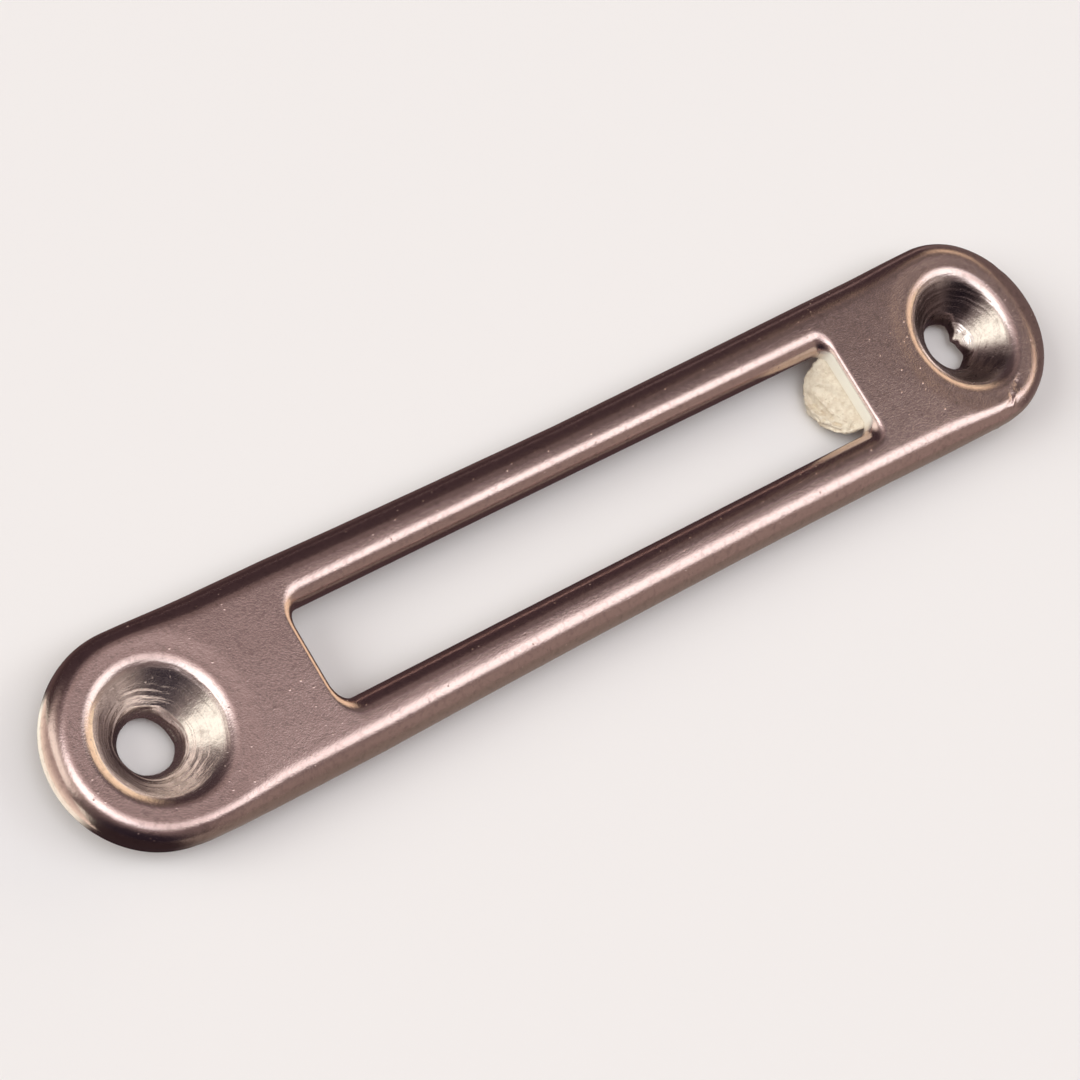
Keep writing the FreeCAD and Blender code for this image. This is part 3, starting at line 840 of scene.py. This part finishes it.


# toned cards that lie just above the floor and show only in the metal, as a photographer's flags do; the dark one under
# the plate is painted shadow
def makeCards():
    material, tree = newMaterial("tonedCards")
    place = addNode(tree, "ShaderNodeTexCoord").outputs["Object"]
    parts = addNode(tree, "ShaderNodeSeparateXYZ", {0: place})
    x, y = parts.outputs[0], parts.outputs[1]

    def ramp(source, low, high):
        return addNode(tree, "ShaderNodeMapRange", {0: source, 1: low * mm, 2: high * mm, 3: 0.0, 4: 1.0},
                       interpolation_type="SMOOTHSTEP").outputs[0]

    def mix(share, first, second):
        return addNode(tree, "ShaderNodeMix", {0: share, 6: first, 7: (*studio[second], 1)}, data_type="RGBA").outputs[2]

    # painted shadow: the card under the plate is dark, as the floor in the plate's shade would be
    tone = mix(ramp(y, -5.0, -3.4), (*studio["frontCard"], 1), "paintedShadowCard")
    tone = mix(ramp(y, 5.2, 6.6), tone, "nearBackCard")
    tone = mix(ramp(y, 8.5, 13.0), tone, "farBackCard")
    tone = mix(ramp(x, 35, 45), tone, "farEndCard")
    corner = addNode(tree, "ShaderNodeMath", {0: ramp(x, -27.5, -31.0), 1: ramp(y, -2.0, -4.0)}, operation="MULTIPLY").outputs[0]
    tone = mix(corner, tone, "nearEndCard")
    # a cream crescent follows the near end's outline
    fromCentre = addNode(tree, "ShaderNodeVectorMath", {0: place, 1: (-endCentre * mm, 0, floorZ)}, operation="SUBTRACT").outputs[0]
    reach = addNode(tree, "ShaderNodeVectorMath", {0: fromCentre}, operation="LENGTH").outputs["Value"]
    heading = addNode(tree, "ShaderNodeVectorMath", {0: fromCentre}, operation="NORMALIZE").outputs[0]
    ahead = addNode(tree, "ShaderNodeVectorMath", {0: heading, 1: (-0.966, 0.26, 0)}, operation="DOT_PRODUCT").outputs["Value"]
    turned = addNode(tree, "ShaderNodeMapRange", {0: ahead, 1: 0.72, 2: 0.88}, interpolation_type="SMOOTHSTEP").outputs[0]
    crescent = addNode(tree, "ShaderNodeMath", {0: turned, 1: ramp(reach, 5.7, 6.3)}, operation="MULTIPLY").outputs[0]
    tone = mix(crescent, tone, "creamCard")
    glow = addNode(tree, "ShaderNodeEmission", {"Color": tone, "Strength": 1.0})
    addNode(tree, "ShaderNodeOutputMaterial", {"Surface": glow.outputs[0]})
    # two upright cards close in the ends; each fades from its foot to its top edge
    turns = [math.radians(a) for a in range(126, 214, 4)]
    at, radius = studio["farFlag"][0], studio["nearFlag"][0]
    lines = {"farFlag": [(at * mm, -12 * mm), (at * mm, 12 * mm)],
             "nearFlag": [(-endCentre * mm + radius * mm * math.cos(a), radius * mm * math.sin(a)) for a in turns]}
    cards = [makeObject("tonedCards", square("cardMesh", 1.0, floorZ + 0.02 * mm), material)]
    for name, line in lines.items():
        rise, foot, top = studio[name][1:]
        flag, flagTree = newMaterial(name)
        height = addNode(flagTree, "ShaderNodeSeparateXYZ", {0: addNode(flagTree, "ShaderNodeTexCoord").outputs["Object"]}).outputs[2]
        up = addNode(flagTree, "ShaderNodeMapRange", {0: height, 1: 0.2 * mm, 2: 2.6 * mm}, interpolation_type="SMOOTHSTEP").outputs[0]
        tone = addNode(flagTree, "ShaderNodeMix", {0: up, 6: (*foot, 1), 7: (*top, 1)}, data_type="RGBA").outputs[2]
        dim = addNode(flagTree, "ShaderNodeEmission", {"Color": tone, "Strength": 1.0})
        addNode(flagTree, "ShaderNodeOutputMaterial", {"Surface": dim.outputs[0]})
        n = len(line)
        # the curved one sinks towards its own ends
        rises = [rise * mm * (math.sin(math.pi * (k + 0.5) / n) ** 0.7 if n > 2 else 1.0) for k in range(n)]
        upright = bpy.data.meshes.new(name)
        corners = [(*p, floorZ) for p in line] + [(*p, floorZ + r) for p, r in zip(line, rises)]
        upright.from_pydata(corners, [], [(k, k + 1, n + k + 1, n + k) for k in range(n - 1)])
        cards.append(makeObject(name, upright, flag))
    for card in cards:
        for way in ("camera", "diffuse", "transmission", "volume_scatter", "shadow"):
            setattr(card, "visible_" + way, False)


# a rectangular lamp that gives its radiance over its whole face, aimed down or at the plate
def makeLamp(name, place, size, radiance, tint, turn=None, mirrored=True):
    lamp = bpy.data.lights.new(name, "AREA")
    lamp.shape = "RECTANGLE"
    lamp.size, lamp.size_y = size
    lamp.energy = radiance * math.pi * size[0] * size[1]
    lamp.color = tint
    made = bpy.data.objects.new(name, lamp)
    made.location = place
    if turn is None:
        made.rotation_euler = Vector(place).to_track_quat("Z", "Y").to_euler()
    else:
        made.rotation_euler = (0, 0, turn)
    made.visible_glossy = mirrored
    bpy.context.scene.collection.objects.link(made)


def makeWindow():
    h, turn = studio["windowHeight"], math.radians(studio["windowTurn"])
    centre = Vector((*studio["windowCentre"], 1.0)) * h
    width, depth = (v * h for v in studio["windowSize"])
    reveal = studio["revealSize"] * h
    aside = Matrix.Rotation(turn, 3, "Z") @ Vector((0, (depth + reveal) / 2, 0))
    makeLamp("softWindow", centre, (width, depth), studio["windowRadiance"], studio["windowTint"], turn)
    makeLamp("windowReveal", centre + aside, (width, reveal), studio["revealRadiance"], studio["windowTint"], turn)
    wing = Vector((*studio["wingCentre"], 1.0)) * h
    makeLamp("windowWing", wing, [v * h for v in studio["wingSize"]], studio["wingRadiance"], studio["windowTint"], turn)
    makeLamp("fillCard", studio["fillPlace"], (studio["fillSize"],) * 2, studio["fillRadiance"], (1, 1, 1), mirrored=False)


def makeWorld():
    world = bpy.data.worlds.new("room")
    world.use_nodes = True
    tree = world.node_tree
    tree.nodes.clear()
    direction = addNode(tree, "ShaderNodeTexCoord").outputs["Generated"]
    height = addNode(tree, "ShaderNodeSeparateXYZ", {0: direction}).outputs[2]
    ramp = addNode(tree, "ShaderNodeValToRGB", {0: height})
    for index, (at, tone) in enumerate(studio["roomTones"]):
        stop = ramp.color_ramp.elements[index] if index < 2 else ramp.color_ramp.elements.new(at)
        stop.position = at
        stop.color = (*tone, 1)
    tone = ramp.outputs[0]
    for axis, inner, outer, colour in studio["patches"]:
        axis = Vector(axis).normalized()
        dot = addNode(tree, "ShaderNodeVectorMath", {0: direction, 1: axis}, operation="DOT_PRODUCT").outputs["Value"]
        share = addNode(tree, "ShaderNodeMapRange", {
            0: dot, 1: math.cos(math.radians(outer)), 2: math.cos(math.radians(inner)), 3: 0.0, 4: 1.0},
            interpolation_type="SMOOTHSTEP").outputs[0]
        tone = addNode(tree, "ShaderNodeMix", {0: share, 6: tone, 7: (*colour, 1)}, data_type="RGBA").outputs[2]
    back = addNode(tree, "ShaderNodeBackground", {"Color": tone, "Strength": 1.0})
    addNode(tree, "ShaderNodeOutputWorld", {"Surface": back.outputs[0]})
    bpy.context.scene.world = world


photoCamera = {"azimuth": -166.71, "tilt": 32.99, "roll": 33.99, "distance": 171.90, "aim": (-4.261, 0.062), "focalPixels": 3200}


def makeCamera():
    azimuth, tilt, roll = (math.radians(photoCamera[name]) for name in ("azimuth", "tilt", "roll"))
    target = Vector((*photoCamera["aim"], topZ + plate["rimHeight"]))
    back = Vector((math.sin(tilt) * math.cos(azimuth), math.sin(tilt) * math.sin(azimuth), math.cos(tilt)))
    right = (-back).cross(Vector((math.sin(roll), math.cos(roll), 0))).normalized()
    up = right.cross(-back)
    data = bpy.data.cameras.new("photoCamera")
    data.sensor_width = 36.0
    data.lens = 36.0 * photoCamera["focalPixels"] / 1080
    data.clip_start, data.clip_end = 0.01, 20
    made = bpy.data.objects.new("photoCamera", data)
    turn = Matrix((right, up, back)).transposed().to_4x4()
    made.matrix_world = Matrix.Translation((target + back * photoCamera["distance"]) * mm) @ turn
    bpy.context.scene.collection.objects.link(made)
    bpy.context.scene.camera = made


makeFloor()
makeCards()
makeWindow()
makeWorld()
makeCamera()
bpy.context.scene.view_settings.view_transform = "Standard"
print("stage set")
